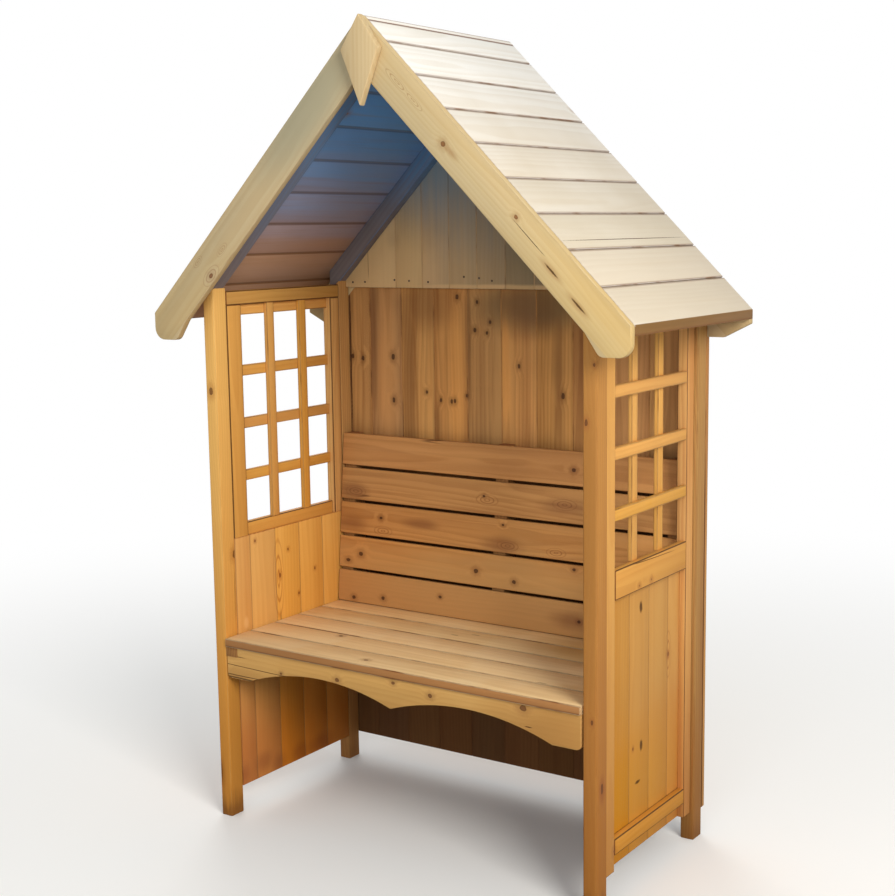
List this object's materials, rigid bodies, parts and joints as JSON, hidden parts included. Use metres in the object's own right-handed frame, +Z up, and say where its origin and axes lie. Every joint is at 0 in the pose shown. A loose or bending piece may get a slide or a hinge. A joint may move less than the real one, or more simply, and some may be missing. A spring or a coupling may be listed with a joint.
{
  "type": "garden arbour",
  "caption": "Free-standing wooden garden arbour with an apex roof of level boards, lattice side panels, a slatted bench with a leaning backrest and a scalloped apron.",
  "frame": {"origin": "at ground level, in the middle of the roof's plan", "axes": "+X to the right seen from the front, +Y from the open front to the back wall, +Z up"},
  "size_m": [1.344, 0.652, 2],
  "materials": {
    "stained_softwood": "matt",
    "sunlit_softwood": "matt"
  },
  "bodies": {
    "root": {"back_wall": "stained_softwood", "backrest_bearers": "stained_softwood", "backrest_slat_1": "stained_softwood", "backrest_slat_2": "stained_softwood", "backrest_slat_3": "stained_softwood", "backrest_slat_4": "stained_softwood", "backrest_slat_5": "stained_softwood", "finial": "stained_softwood", "front_bargeboard_left": "stained_softwood", "front_bargeboard_right": "stained_softwood", "front_post_left": "stained_softwood", "front_post_right": "stained_softwood", "front_rafter_left": "stained_softwood", "front_rafter_right": "stained_softwood", "gable_boards": "stained_softwood", "rear_bargeboard_left": "stained_softwood", "rear_bargeboard_right": "stained_softwood", "rear_post_left": "stained_softwood", "rear_post_right": "stained_softwood", "rear_rafter_left": "stained_softwood", "rear_rafter_right": "stained_softwood", "roof_boards_left": "sunlit_softwood", "roof_boards_right": "sunlit_softwood", "seat_apron": "stained_softwood", "seat_back_rail": "stained_softwood", "seat_bearers": "stained_softwood", "seat_slat_1": "stained_softwood", "seat_slat_2": "stained_softwood", "seat_slat_3": "stained_softwood", "seat_slat_4": "stained_softwood", "seat_slat_5": "stained_softwood", "side_boards_left": "stained_softwood", "side_boards_right": "stained_softwood", "side_bottom_rail_left": "stained_softwood", "side_bottom_rail_right": "stained_softwood", "side_front_stile_left": "stained_softwood", "side_front_stile_right": "stained_softwood", "side_lattice_left": "stained_softwood", "side_lattice_right": "stained_softwood", "side_middle_rail_left": "stained_softwood", "side_middle_rail_right": "stained_softwood", "side_rear_stile_left": "stained_softwood", "side_rear_stile_right": "stained_softwood", "side_top_rail_left": "stained_softwood", "side_top_rail_right": "stained_softwood"}
  },
  "joints": []
}
